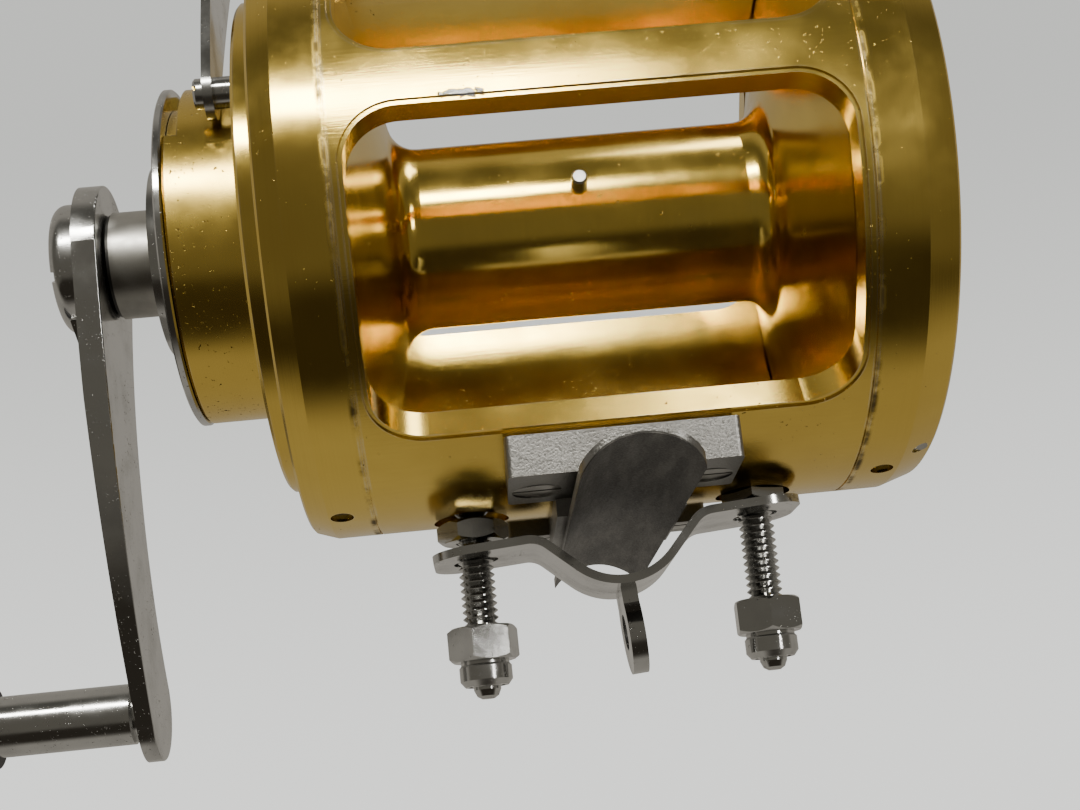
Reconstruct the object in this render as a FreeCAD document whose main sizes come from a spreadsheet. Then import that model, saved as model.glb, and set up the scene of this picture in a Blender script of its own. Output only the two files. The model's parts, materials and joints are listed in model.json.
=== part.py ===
"""Big-game trolling reel, millimetres, +Z up.

The origin is on the axis of the rod that the reel is clamped to, below the middle of the spool.
+X runs along the spool, away from the crank. -Y is the reel's front.
Heights in the sheet are counted from the spool's axis: each sub-part is shaped about that axis
and its Placement then lifts it by axis_height.
"""
import FreeCAD, Part
import math
import os
import re

import Sketcher
from FreeCAD import Placement, Rotation, Vector

SIZES = {
    # frame
    "axis_height": 65.4,
    "frame_half": 42.4,
    "ring_radius": 53.5,
    "frame_bore": 47.6,
    "spigot_radius": 50.0,
    "spigot_long": 5.0,
    "window_half": 39.8,
    "window_corner": 9.0,
    "rebate": 0.8,
    "rebate_deep": 0.4,
    "groove_at": 41.6,
    "groove_wide": 0.35,
    "groove_deep": 0.3,
    # side rings
    "crank_ring_flat": 49.8,
    "crank_ring_end": 53.8,
    "crank_ring_nose": 52.3,
    "far_ring_flat": 50.0,
    "far_ring_end": 55.6,
    "far_ring_nose": 51.8,
    "ring_mouth": 41.0,
    "ring_inner": 46.5,
    "ring_web": 50.6,
    "far_ledge": 51.2,
    "set_screw_radius": 2.0,
    "crank_screw_at": 47.5,
    "far_screw_at": 47.2,
    "plug_at": 53.0,
    "plug_radius": 1.4,
    # covers and drive housing
    "cover_radius": 44.2,
    "cover_in": 54.6,
    "cover_out": 57.4,
    "cover_bore": 24.5,
    "hub_radius": 30.2,
    "hub_bore": 26.0,
    "hub_wall": 1.7,
    "hub_end": 71.3,
    "notch_deep": 2.5,
    "bush_radius": 8.0,
    "far_cover_radius": 42.5,
    "far_cover_out": 54.2,
    "cover_screw_circle": 38.9,
    "cover_screw_shank": 1.55,
    "cover_screw_hole": 1.6,
    "cover_screw_sink": 3.2,
    "post_hole": 1.65,
    "cap_bore": 9.0,
    # bearings and their plates
    "plate_in": 41.3,
    "plate_out": 42.8,
    "plate_bore": 6.0,
    "bearing_in": 42.5,
    "bearing_wide": 5.0,
    "bearing_radius": 8.0,
    "ball_radius": 1.2,
    "race_wall": 1.2,
    "guide_end": 47.0,
    "guide_radius": 3.4,
    # spool
    "arbor_radius": 16.47,
    "arbor_bore": 12.5,
    "arbor_fillet": 5.0,
    "flange_base": 33.0,
    "flange_in": 39.9,
    "flange_out": 41.0,
    "flange_radius": 46.6,
    "hub_web": 6.0,
    "hub_rim": 15.5,
    "peg_radius": 1.45,
    "peg_tall": 3.0,
    "shaft_radius": 4.0,
    "shaft_end": 50.0,
    "click_in": 47.6,
    "click_tip": 15.0,
    "click_root": 13.4,
    "click_thick": 1.5,
    "finger_thick": 1.3,
    "click_up": 24.9,
    # drag and clutch
    "drag_in": 47.6,
    "drag_radius": 28.0,
    "disc_thick": 1.2,
    "lining_thick": 0.8,
    "lining_bore": 10.0,
    "cam_face": 51.4,
    "cam_back": 53.4,
    "cam_front": 48.0,
    "cam_radius": 3.0,
    "lever_shaft_radius": 1.55,
    "plunger_back": 54.0,
    "plunger_face": 48.6,
    "plunger_tip": 44.2,
    "plunger_radius": 2.0,
    # planetary gears
    "gear_module": 0.9,
    "gear_in": 59.0,
    "gear_out": 64.5,
    "planet_pin": 2.0,
    "carrier_in": 64.9,
    "carrier_out": 67.0,
    "carrier_radius": 19.5,
    "ratchet_in": 67.2,
    "ratchet_out": 69.2,
    "ratchet_radius": 17.0,
    "ratchet_deep": 2.2,
    "pawl_circle": 22.6,
    "pawl_hub": 2.6,
    "pawl_pin": 1.2,
    # crank
    "drive_radius": 6.0,
    "disc_in": 71.4,
    "disc_out": 72.9,
    "disc_radius": 30.5,
    "knurl_radius": 18.0,
    "knurl_out": 76.6,
    "knurl_deep": 0.7,
    "boss_radius": 9.7,
    "boss_out": 85.0,
    "arm_in": 86.0,
    "arm_thick": 4.3,
    "arm_tip_thick": 2.9,
    "arm_hub": 14.7,
    "arm_eye": 9.2,
    "arm_taper_from": 27.0,
    "pin_back": 20.0,
    "pin_drop": 80.0,
    "pin_radius": 5.25,
    "spindle_radius": 5.65,
    "spindle_out": 116.0,
    "spindle_core": 3.5,
    "knob_in": 116.4,
    "knob_long": 42.0,
    "knob_radius": 17.0,
    "cap_radius": 11.8,
    "cap_tall": 5.1,
    "cap_round": 2.4,
    "cap_slot_wide": 1.8,
    "cap_slot_deep": 0.9,
    "strap_near": 4.0,
    "strap_far": 24.0,
    "strap_thick": 1.2,
    "strap_rise": 4.2,
    "strap_bolt": 1.6,
    # free-spool lever
    "post_front": 30.5,
    "post_up": 17.8,
    "post_radius": 2.65,
    "post_out": 61.3,
    "lever_thick": 1.6,
    # harness lugs
    "harness_circle": 59.0,
    "harness_eye": 3.0,
    # foot
    "foot_half": 19.0,
    "lug_front": 35.0,
    "lug_back": 17.3,
    "lug_top": 46.6,
    "lug_bottom": 54.4,
    "lug_slope": 1.1,
    "waist_half": 11.0,
    "seat_radius": 11.0,
    "tongue_reach": 63.0,
    "tongue_half": 9.2,
    "tongue_thick": 1.2,
    "foot_screw_side": 14.2,
    "foot_screw_front": 24.5,
    "foot_screw_head": 4.15,
    "foot_screw_shank": 2.1,
    "screw_face": 53.8,
    # studs, nuts and rod clamp
    "stud_half": 25.4,
    "stud_radius": 3.175,
    "thread_pitch": 1.27,
    "stud_end": 85.2,
    "spot_face": 51.6,
    "spot_radius": 6.7,
    "hex_across": 11.1,
    "jam_tall": 3.6,
    "loose_nut_gap": 2.2,
    "nut_top": 72.6,
    "nut_bottom": 78.6,
    "collar_end": 83.0,
    "collar_radius": 4.65,
    "clamp_thick": 1.5,
    "clamp_wide": 22.0,
    "clamp_half": 32.9,
    "clamp_top": 58.4,
    "clamp_deep": 9.5,
    "clamp_bend": 11.0,
    "clamp_tilt": 4.0,
    "clamp_hole": 4.0,
    "lug_radius": 7.5,
    "lug_eye": 3.2,
    "lug_thick": 2.8,
    "lug_drop": 7.35,
    "fit": 0.05,
}

# Angles are in degrees about the spool's axis, from +Y towards +Z.
WINDOWS = {
    "front": (177.0, 236.0),
    "front_upper": (100.0, 166.0),
    "rear_upper": (-5.0, 60.0),
}
CRANK_SCREW_ANGLE = -100.9
FAR_SCREW_ANGLE = -99.6
PLUG_ANGLE = -105.4
NOTCH_ANGLES = (100.0, 156.0)
PEG_ANGLE = 173.5
PEG_ALONG = -1.0
HARNESS_ANGLE = 80.0
PAWL_ANGLE = 128.0
PAWL_LIFT = 8.0
PLANET_ANGLES = (90.0, 210.0, 330.0)
SUN_TEETH = 24
PLANET_TEETH = 12
RING_TEETH = 48
RATCHET_TEETH = 16
CLICK_TEETH = 36
COVER_SCREWS = 6
BALLS = 9
KNURLS = 72

doc = FreeCAD.newDocument("trolling_reel")
sheet = doc.addObject("Spreadsheet::Sheet", "Sizes")
nodes = {}


def fill_sheet():
    for row, (alias, number) in enumerate(SIZES.items(), 1):
        sheet.set("A%d" % row, alias)
        sheet.set("B%d" % row, str(number))
        sheet.setAlias("B%d" % row, alias)
    doc.recompute()


def size(alias):
    return float(sheet.get(alias))


def bound(text):
    """The expression that an object uses for a sum of the sheet's words."""
    return re.sub(r"[a-z_]+", lambda word: "Sizes." + word.group(), text)


def worked_out(text):
    """The value of a sum of the sheet's words, found in a spare cell."""
    sheet.set("Z1", "=" + text)
    sheet.recompute()
    answer = float(sheet.get("Z1"))
    sheet.clear("Z1")
    return answer


def node(label, thing):
    """Names a finished sub-part and lifts it from the spool's axis to its place in the reel."""
    thing.Label = label
    height = thing.Placement.Base.z
    thing.setExpression("Placement.Base.z", "Sizes.axis_height + (%.6f)" % height)
    nodes[label] = thing
    return thing


# ---- shapes that several sub-parts use ----

TURN_TO_X = Rotation(Vector(0, 1, 0), 90)
TURN_TO_Y = Rotation(Vector(1, 0, 0), -90)
NO_TURN = Rotation()


def put(thing, x, y, z, rotation=NO_TURN):
    thing.Placement = Placement(Vector(0, 0, 0), rotation)
    for axis, text in zip("xyz", (x, y, z)):
        thing.setExpression("Placement.Base." + axis, bound(text))
    return thing


def rod(name, radius, length, x="0", y="0", z="0", rotation=TURN_TO_X):
    thing = doc.addObject("Part::Cylinder", name)
    thing.setExpression("Radius", bound(radius))
    thing.setExpression("Height", bound(length))
    return put(thing, x, y, z, rotation)


def block(name, long, wide, tall, x, y, z, rotation=NO_TURN):
    thing = doc.addObject("Part::Box", name)
    thing.setExpression("Length", bound(long))
    thing.setExpression("Width", bound(wide))
    thing.setExpression("Height", bound(tall))
    return put(thing, x, y, z, rotation)


def joined(name, things):
    thing = doc.addObject("Part::MultiFuse", name)
    thing.Shapes = things
    return thing


def group(name, things):
    thing = doc.addObject("Part::Compound", name)
    thing.Links = things
    return thing


def without(name, base, tools):
    tool = tools[0] if len(tools) == 1 else joined(name + "_tools", tools)
    thing = doc.addObject("Part::Cut", name)
    thing.Base = base
    thing.Tool = tool
    return thing


def shaped(name, shape, placement=None):
    thing = doc.addObject("Part::Feature", name)
    thing.Shape = shape
    if placement:
        thing.Placement = placement
    return thing


def outline(body, role, corners, offset=None):
    """A closed sketch of straight lines, each corner held by the sheet's sizes."""
    sketch = body.newObject("Sketcher::SketchObject", body.Name + "_sketch")
    plane = [feature for feature in body.Origin.OriginFeatures if feature.Role == role][0]
    sketch.AttachmentSupport = (plane, "")
    sketch.MapMode = "FlatFace"
    if offset:
        sketch.setExpression("AttachmentOffset.Base.z", bound(offset))
    numbers = [(worked_out(across), worked_out(up)) for across, up in corners]
    count = len(corners)
    for index in range(count):
        start = Vector(*numbers[index], 0)
        end = Vector(*numbers[(index + 1) % count], 0)
        sketch.addGeometry(Part.LineSegment(start, end), False)
    for index in range(count):
        follower = (index + 1) % count
        sketch.addConstraint(Sketcher.Constraint("Coincident", index, 2, follower, 1))
    for index, texts in enumerate(corners):
        for kind, axis, text, number in zip(("DistanceX", "DistanceY"), (-2, -1), texts, numbers[index]):
            if abs(number) < 1e-9:
                sketch.addConstraint(Sketcher.Constraint("PointOnObject", index, 1, axis))
                continue
            order = (-1, 1, index, 1) if number > 0 else (index, 1, -1, 1)
            place = sketch.addConstraint(Sketcher.Constraint(kind, *order, abs(number)))
            sign = "" if number > 0 else "-"
            sketch.setExpression("Constraints[%d]" % place, sign + "(" + bound(text) + ")")
    return sketch


def turned(name, corners):
    """A body turned about the spool's axis; a corner is (place along X, radius)."""
    body = doc.addObject("PartDesign::Body", name)
    sketch = outline(body, "XZ_Plane", corners)
    turn = body.newObject("PartDesign::Revolution", name + "_turn")
    turn.Profile = sketch
    turn.ReferenceAxis = (sketch, ["H_Axis"])
    turn.Angle = 360.0
    body.Tip = turn
    return body


def around(angle, radius, along=0.0):
    """A point at an angle from +Y towards +Z about the spool's axis."""
    turn = math.radians(angle)
    return Vector(along, radius * math.cos(turn), radius * math.sin(turn))


def mirrored(corners):
    """The same outline on the crank's side, where X is negative."""
    return [("-(%s)" % across, up) for across, up in corners]


def cylinder_x(radius, start, end, y=0.0, z=0.0):
    """A cylinder along X between two places."""
    return Part.makeCylinder(radius, abs(end - start), Vector(min(start, end), y, z), Vector(1, 0, 0))


def radial_pin(radius, along, angle, inner, long):
    """A cylinder that points away from the spool's axis."""
    return Part.makeCylinder(radius, long, around(angle, inner, along), around(angle, 1.0))


def face_of(points):
    return Part.Face(Part.makePolygon(points + points[:1]))


# ---- frame ----

def window_tool(name, first, last, bigger, inner, outer):
    """A curved block with four rounded corners, the size of one window."""
    grow = math.degrees(bigger / size("ring_radius"))
    half = size("window_half") + bigger
    points = []
    for angle, radius in ((first - grow, inner), (first - grow, outer)):
        points.append(around(angle, radius, -half))
    for angle, radius in ((last + grow, outer), (last + grow, inner)):
        points.append(around(angle, radius, -half))
    middle = (first + last) / 2
    edges = [Part.makeLine(points[0], points[1])]
    edges.append(Part.Arc(points[1], around(middle, outer, -half), points[2]).toShape())
    edges.append(Part.makeLine(points[2], points[3]))
    edges.append(Part.Arc(points[3], around(middle, inner, -half), points[0]).toShape())
    solid = Part.Face(Part.Wire(edges)).extrude(Vector(2 * half, 0, 0))
    radial = [edge for edge in solid.Edges if edge.Curve.TypeId == "Part::GeomLine"
              and abs(edge.Vertexes[0].X - edge.Vertexes[-1].X) < 0.01]
    return shaped(name, solid.makeFillet(size("window_corner") + bigger, radial))


def make_frame():
    """One tube with three windows, a groove beside each joint and a spigot at each end."""
    end = "(frame_half + spigot_long)"
    right = [(end, "frame_bore"), (end, "spigot_radius"), ("frame_half", "spigot_radius")]
    right += [("frame_half", "ring_radius"), ("groove_at + groove_wide", "ring_radius")]
    right += [("groove_at + groove_wide", "ring_radius - groove_deep")]
    right += [("groove_at", "ring_radius - groove_deep"), ("groove_at", "ring_radius")]
    tube = turned("frame_tube", right + mirrored(right)[::-1])
    tools = []
    rebate_floor = size("ring_radius") - size("rebate_deep")
    for name, (first, last) in WINDOWS.items():
        tools.append(window_tool("window_" + name, first, last, 0.0, 40.0, 60.0))
        tools.append(window_tool("rebate_" + name, first, last, size("rebate"), rebate_floor, 60.0))
    for side, sign in (("crank", "-"), ("far", "")):
        x = sign + "stud_half"
        tools.append(rod("spot_face_" + side, "spot_radius", "10", x, "0", "-spot_face - 10", NO_TURN))
        tools.append(rod("stud_hole_" + side, "stud_radius", "12", x, "0", "-spot_face - 6", NO_TURN))
        for end_name, front in (("front", "-"), ("back", "")):
            x = sign + "foot_screw_side"
            y = front + "foot_screw_front"
            name = "screw_hole_%s_%s" % (side, end_name)
            tools.append(rod(name, "foot_screw_shank", "10.4", x, y, "-lug_bottom", NO_TURN))
    return node("frame", without("frame_cut", tube, tools))


def make_crank_side_ring():
    """A cup on the frame's spigot, with a tapered nose and a web for the cover."""
    corners = [("frame_half", "spigot_radius"), ("frame_half", "ring_radius")]
    corners += [("crank_ring_flat", "ring_radius"), ("crank_ring_end - 0.4", "crank_ring_nose")]
    corners += [("crank_ring_end", "crank_ring_nose - 0.5"), ("crank_ring_end", "ring_mouth")]
    corners += [("ring_web", "ring_mouth"), ("ring_web", "ring_inner")]
    corners += [("frame_half + spigot_long", "ring_inner"), ("frame_half + spigot_long", "spigot_radius")]
    ring = turned("crank_ring_turned", mirrored(corners))
    hole = radial_pin(size("set_screw_radius"), -size("crank_screw_at"), CRANK_SCREW_ANGLE, 50.2, 6.0)
    return node("crank_side_ring", without("crank_ring_cut", ring, [shaped("crank_ring_hole", hole)]))


def make_far_side_ring():
    """The matching cup on the far side, with a ledge inside for its cover."""
    corners = [("frame_half", "spigot_radius"), ("frame_half", "ring_radius")]
    corners += [("far_ring_flat", "ring_radius"), ("far_ring_end - 0.4", "far_ring_nose")]
    corners += [("far_ring_end", "far_ring_nose - 0.5"), ("far_ring_end", "far_cover_radius")]
    corners += [("far_ledge", "far_cover_radius"), ("far_ledge", "far_cover_radius - 7")]
    corners += [("far_ledge - 1.6", "far_cover_radius - 7"), ("far_ledge - 1.6", "ring_inner")]
    corners += [("frame_half + spigot_long", "ring_inner"), ("frame_half + spigot_long", "spigot_radius")]
    ring = turned("far_ring_turned", corners)
    hole = radial_pin(size("set_screw_radius"), size("far_screw_at"), FAR_SCREW_ANGLE, 50.2, 6.0)
    plug = radial_pin(size("plug_radius"), size("plug_at"), PLUG_ANGLE, 49.5, 6.0)
    tools = [shaped("far_ring_hole", hole), shaped("plug_hole", plug)]
    for index in range(COVER_SCREWS):
        place = around(60.0 * index + 30.0, size("cover_screw_circle"))
        thread = cylinder_x(size("cover_screw_shank"), 48.0, 53.0, place.y, place.z)
        tools.append(shaped("far_ring_thread_%d" % index, thread))
    return node("far_side_ring", without("far_ring_cut", ring, tools))


# ---- side rings, covers and housing ----

def make_ring_set_screws():
    """Socket set screws that lock both rings on the frame, and a plug in the far ring's nose."""
    screws = []
    places = ((-size("crank_screw_at"), CRANK_SCREW_ANGLE), (size("far_screw_at"), FAR_SCREW_ANGLE))
    for index, (along, angle) in enumerate(places):
        screw = radial_pin(size("set_screw_radius"), along, angle, 50.25, 2.2)
        socket = radial_pin(0.95, along, angle, 51.3, 3.0)
        screws.append(shaped("set_screw_%d" % index, screw.cut(socket)))
    plug = radial_pin(size("plug_radius"), size("plug_at"), PLUG_ANGLE, 49.55, 2.75)
    screws.append(shaped("ring_plug", plug))
    return node("ring_set_screws", group("set_screws", screws))


def make_crank_side_cover():
    corners = [("cover_in", "cover_bore"), ("cover_in", "ring_mouth - 1.8")]
    corners += [("ring_web", "ring_mouth - 1.8"), ("ring_web", "ring_mouth - fit")]
    corners += [("crank_ring_end", "ring_mouth - fit"), ("crank_ring_end", "cover_radius")]
    corners += [("cover_out - 0.5", "cover_radius"), ("cover_out", "cover_radius - 0.5")]
    corners += [("cover_out", "cover_bore")]
    cover = turned("crank_cover_turned", mirrored(corners))
    hole = rod("cover_post_hole", "post_hole", "12", "-cover_out - 4", "-post_front", "post_up")
    return node("crank_side_cover", without("crank_cover_cut", cover, [hole]))


def make_drive_housing():
    """The drum outside the cover. Its end wall has a notch in its rim."""
    corners = [("cover_out", "hub_bore"), ("cover_out", "hub_radius")]
    corners += [("hub_end - 0.5", "hub_radius"), ("hub_end", "hub_radius - 0.5")]
    corners += [("hub_end", "bush_radius"), ("hub_end - hub_wall", "bush_radius")]
    corners += [("hub_end - hub_wall", "hub_bore")]
    drum = turned("housing_turned", mirrored(corners))
    end = -size("hub_end")
    inner = size("hub_bore") + 0.8
    outer = size("hub_radius") + 3.8
    low, high = NOTCH_ANGLES
    middle = (low + high) / 2
    points = [around(high, inner, end - 1), around(high, outer, end - 1)]
    points += [around(low, outer, end - 1), around(low, inner, end - 1)]
    edges = [Part.makeLine(points[0], points[1])]
    edges.append(Part.Arc(points[1], around(middle, outer, end - 1), points[2]).toShape())
    edges.append(Part.makeLine(points[2], points[3]))
    edges.append(Part.Arc(points[3], around(middle, inner, end - 1), points[0]).toShape())
    notch = Part.Face(Part.Wire(edges)).extrude(Vector(size("notch_deep") + 1, 0, 0))
    pin_spot = around(PAWL_ANGLE, size("pawl_circle"))
    pin_hole = cylinder_x(size("pawl_pin"), end - 1, -60.0, pin_spot.y, pin_spot.z)
    tools = [shaped("housing_notch", notch), shaped("housing_pin_hole", pin_hole)]
    return node("drive_housing", without("housing_cut", drum, tools))


def make_far_side_cover():
    corners = [("far_ledge", "cap_bore"), ("far_ledge", "far_cover_radius - fit")]
    corners += [("far_cover_out - 0.5", "far_cover_radius - fit")]
    corners += [("far_cover_out", "far_cover_radius - 0.6"), ("far_cover_out", "cap_bore")]
    cover = turned("far_cover_turned", corners)
    slot = block("click_slot", "8", "4", "8.4", "far_ledge - 2", "-2", "19.8")
    tools = [slot]
    out = size("far_cover_out")
    bore = size("cover_screw_hole")
    for index in range(COVER_SCREWS):
        place = around(60.0 * index + 30.0, size("cover_screw_circle"))
        hole = cylinder_x(bore, 49.0, out + 1, place.y, place.z)
        sink_start = Vector(out - bore, place.y, place.z)
        sink = Part.makeCone(bore, size("cover_screw_sink"), bore, sink_start, Vector(1, 0, 0))
        tools.append(shaped("cover_hole_%d" % index, hole.fuse(sink)))
    return node("far_side_cover", without("far_cover_cut", cover, tools))


def slotted_screw(head_radius, head_tall, shank_radius, long, slot_wide, slot_deep):
    """A countersunk screw along +Z with its head's face at the origin."""
    head = Part.makeCone(shank_radius, head_radius, head_tall, Vector(0, 0, -head_tall))
    shank = Part.makeCylinder(shank_radius, long, Vector(0, 0, -long))
    slot = Part.makeBox(4 * head_radius, slot_wide, slot_deep + 1)
    slot.translate(Vector(-2 * head_radius, -slot_wide / 2, -slot_deep))
    return head.fuse(shank).cut(slot).removeSplitter()


def make_far_cover_screws():
    screws = []
    head = size("cover_screw_sink") - size("fit")
    shank = size("cover_screw_shank")
    for index in range(COVER_SCREWS):
        place = around(60.0 * index + 30.0, size("cover_screw_circle"), size("far_cover_out"))
        turn = Rotation(Vector(0, 0, 1), Vector(1, 0, 0))
        spin = Rotation(Vector(1, 0, 0), 37.0 * index)
        screw = slotted_screw(head, shank, shank, 4.5, 0.8, 0.8)
        screws.append(shaped("cover_screw_%d" % index, screw, Placement(place, spin.multiply(turn))))
    return node("far_cover_screws", group("cover_screws", screws))


def make_far_bearing_cap():
    """The coin-slotted cap in the middle of the far cover."""
    corners = [("far_ledge", "0"), ("far_ledge", "cap_bore - fit"), ("far_cover_out", "cap_bore - fit")]
    corners += [("far_cover_out", "cap_bore + 2.5"), ("far_cover_out + 1.6", "cap_bore + 2.5")]
    corners += [("far_cover_out + 2.5", "cap_bore + 1.4"), ("far_cover_out + 2.5", "0")]
    cap = turned("far_cap_turned", corners)
    slot = block("cap_slot", "2", "30", "2", "far_cover_out + 1.3", "-15", "-1")
    return node("far_bearing_cap", without("far_cap_cut", cap, [slot]))


def make_side_plates():
    """A disc at each end of the spool that carries one bearing, the crank's with a plunger guide."""
    corners = [("plate_in", "plate_bore"), ("plate_in", "frame_bore - fit")]
    corners += [("plate_out", "frame_bore - fit")]
    corners += [("plate_out", "bearing_radius + 3"), ("bearing_in + bearing_wide", "bearing_radius + 3")]
    corners += [("bearing_in + bearing_wide", "bearing_radius"), ("bearing_in", "bearing_radius")]
    corners += [("bearing_in", "plate_bore")]
    node("far_side_plate", turned("far_plate_turned", corners))
    plate = turned("crank_plate_turned", mirrored(corners))
    long = "guide_end - plate_out"
    guide = rod("guide_tube", "guide_radius", long, "-guide_end", "-post_front", "post_up")
    bore = rod("guide_bore", "plunger_radius + fit", long, "-guide_end", "-post_front", "post_up")
    tube = without("guide", guide, [bore])
    node("crank_side_plate", joined("crank_plate", [plate, tube]))


def make_bearings():
    outer = []
    inner = []
    balls = []
    circle = (size("shaft_radius") + size("bearing_radius")) / 2
    wide = size("bearing_wide")
    for side, start in (("crank", -size("bearing_in") - wide), ("far", size("bearing_in"))):
        end = start + wide
        middle = start + wide / 2
        track = size("ball_radius") + size("fit")
        groove = Part.makeTorus(circle, track, Vector(middle, 0, 0), Vector(1, 0, 0))
        race = cylinder_x(size("bearing_radius"), start, end)
        race = race.cut(cylinder_x(size("bearing_radius") - size("race_wall"), start - 1, end + 1))
        outer.append(shaped("outer_race_" + side, race.cut(groove)))
        race = cylinder_x(size("shaft_radius") + size("race_wall"), start, end)
        race = race.cut(cylinder_x(size("shaft_radius"), start - 1, end + 1))
        inner.append(shaped("inner_race_" + side, race.cut(groove)))
        for index in range(BALLS):
            ball = doc.addObject("Part::Sphere", "ball_%s_%d" % (side, index))
            ball.setExpression("Radius", bound("ball_radius"))
            ball.Placement.Base = around(360.0 * index / BALLS, circle, middle)
            balls.append(ball)
    node("bearing_outer_races", group("outer_races", outer))
    node("bearing_inner_races", group("inner_races", inner))
    node("bearing_balls", group("balls", balls))


# ---- spool and its shaft ----

def make_spool():
    """Arbor, two tapered flanges and a hub at each end that grips the shaft."""
    right = [("flange_out", "shaft_radius"), ("flange_out", "hub_rim"), ("flange_out - 1", "hub_rim + 3")]
    right += [("flange_out - 1", "flange_radius - 4"), ("flange_out", "flange_radius - 3")]
    right += [("flange_out", "flange_radius"), ("flange_in", "flange_radius")]
    right.append(("flange_base", "arbor_radius"))
    inner = [("-(flange_out - hub_web)", "shaft_radius"), ("-(flange_out - hub_web)", "arbor_bore")]
    inner += [("flange_out - hub_web", "arbor_bore"), ("flange_out - hub_web", "shaft_radius")]
    blank = turned("spool_turned", right + mirrored(right)[::-1] + inner)
    doc.recompute()
    rounded = doc.addObject("Part::Fillet", "spool_rounded")
    rounded.Base = blank
    picked = []
    for index, edge in enumerate(blank.Shape.Edges, 1):
        if edge.Curve.TypeId != "Part::GeomCircle":
            continue
        on_arbor = abs(edge.Curve.Radius - size("arbor_radius")) < 0.01
        at_flange = abs(abs(edge.Curve.Center.x) - size("flange_base")) < 0.01
        if on_arbor and at_flange:
            picked.append((index, size("arbor_fillet"), size("arbor_fillet")))
    rounded.Edges = picked
    hole = radial_pin(size("peg_radius"), PEG_ALONG, PEG_ANGLE, size("arbor_bore") + 0.2, 10.0)
    return node("spool", without("spool_cut", rounded, [shaped("peg_hole", hole)]))


def make_line_peg():
    """The pin on the arbor that the line is tied to."""
    inner = size("arbor_bore") + 0.2
    long = size("arbor_radius") + size("peg_tall") - inner
    peg = radial_pin(size("peg_radius"), PEG_ALONG, PEG_ANGLE, inner, long)
    rims = [edge for edge in peg.Edges if edge.Curve.TypeId == "Part::GeomCircle"]
    outer = max(rims, key=lambda edge: edge.CenterOfMass.Length)
    return node("line_peg", shaped("peg", peg.makeChamfer(0.35, [outer])))


def make_spool_shaft():
    corners = [("-(gear_out + 0.2)", "0"), ("-(gear_out + 0.2)", "shaft_radius")]
    corners += [("shaft_end", "shaft_radius"), ("shaft_end", "0")]
    return node("spool_shaft", turned("shaft_turned", corners))


def make_drag():
    """Two steel discs on the spool's shaft with a friction lining outside each."""
    discs = []
    linings = []
    for index in range(2):
        inward = "(drag_in + %d * (disc_thick + lining_thick))" % index
        start = "-(%s + disc_thick)" % inward
        disc = rod("drag_disc_blank_%d" % index, "drag_radius", "disc_thick", start)
        bore = rod("drag_disc_bore_%d" % index, "shaft_radius", "3", start + " - 1")
        discs.append(without("drag_disc_%d" % index, disc, [bore]))
        start = "-(%s + disc_thick + lining_thick)" % inward
        lining = rod("lining_blank_%d" % index, "drag_radius - 0.6", "lining_thick", start)
        bore = rod("lining_bore_%d" % index, "lining_bore", "3", start + " - 1")
        linings.append(without("lining_%d" % index, lining, [bore]))
    node("drag_discs", group("steel_discs", discs))
    node("drag_linings", group("friction_linings", linings))


def tilted_half_space(along, beyond):
    """A big block behind or ahead of the slanted face between the cam and its plunger."""
    slant = 0.433
    y = -size("post_front")
    z = size("post_up")
    reach = 8.0
    low = Vector(along - slant * reach, y - reach, z - 20)
    high = Vector(along + slant * reach, y + reach, z - 20)
    shift = Vector(30 if beyond else -30, 0, 0)
    return face_of([low, high, high + shift, low + shift]).extrude(Vector(0, 0, 40))


def make_lever_shaft():
    """The lever's shaft through the cover, with a slanted cam on its inner end."""
    y = -size("post_front")
    z = size("post_up")
    outer = -size("post_out") - size("lever_thick")
    cam_back = -size("cam_back")
    shaft = cylinder_x(size("lever_shaft_radius"), outer, cam_back + 0.4, y, z)
    cam = cylinder_x(size("cam_radius"), cam_back, -size("cam_front"), y, z)
    cam = cam.cut(tilted_half_space(-size("cam_face"), True))
    return node("lever_shaft", shaped("lever_spindle", shaft.fuse(cam).removeSplitter()))


def make_clutch_plunger():
    """The plunger that the cam pushes towards the spool."""
    y = -size("post_front")
    z = size("post_up")
    face = -size("plunger_face")
    head = cylinder_x(size("cam_radius"), -size("plunger_back"), face, y, z)
    head = head.cut(tilted_half_space(-size("cam_face") + 0.06, False))
    stem = cylinder_x(size("plunger_radius"), face - 0.2, -size("plunger_tip"), y, z)
    return node("clutch_plunger", shaped("plunger", head.fuse(stem).removeSplitter()))


# ---- gears ----

def involute_outline(teeth, module, addendum, dedendum, thin, phase):
    """Points of a gear's edge, with involute flanks at a 20 degree pressure angle."""
    pitch_radius = module * teeth / 2
    base = pitch_radius * math.cos(math.radians(20))
    root = pitch_radius - dedendum
    tip = pitch_radius + addendum
    half_tooth = math.pi / (2 * teeth) - thin / (2 * pitch_radius)

    def flank(radius):
        turn = math.acos(min(1.0, base / radius))
        at_pitch = math.acos(base / pitch_radius)
        return half_tooth - ((math.tan(turn) - turn) - (math.tan(at_pitch) - at_pitch))

    foot = max(base, root) + 0.001
    radii = [foot + (tip - foot) * step / 4 for step in range(5)]
    points = []
    for index in range(teeth):
        middle = math.radians(phase) + 2 * math.pi * index / teeth
        rising = [(root, middle - flank(foot))] + [(radius, middle - flank(radius)) for radius in radii]
        falling = [(radius, middle + flank(radius)) for radius in reversed(radii)]
        falling.append((root, middle + flank(foot)))
        for radius, turn in rising + falling:
            points.append(Vector(0, radius * math.cos(turn), radius * math.sin(turn)))
    return points


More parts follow.
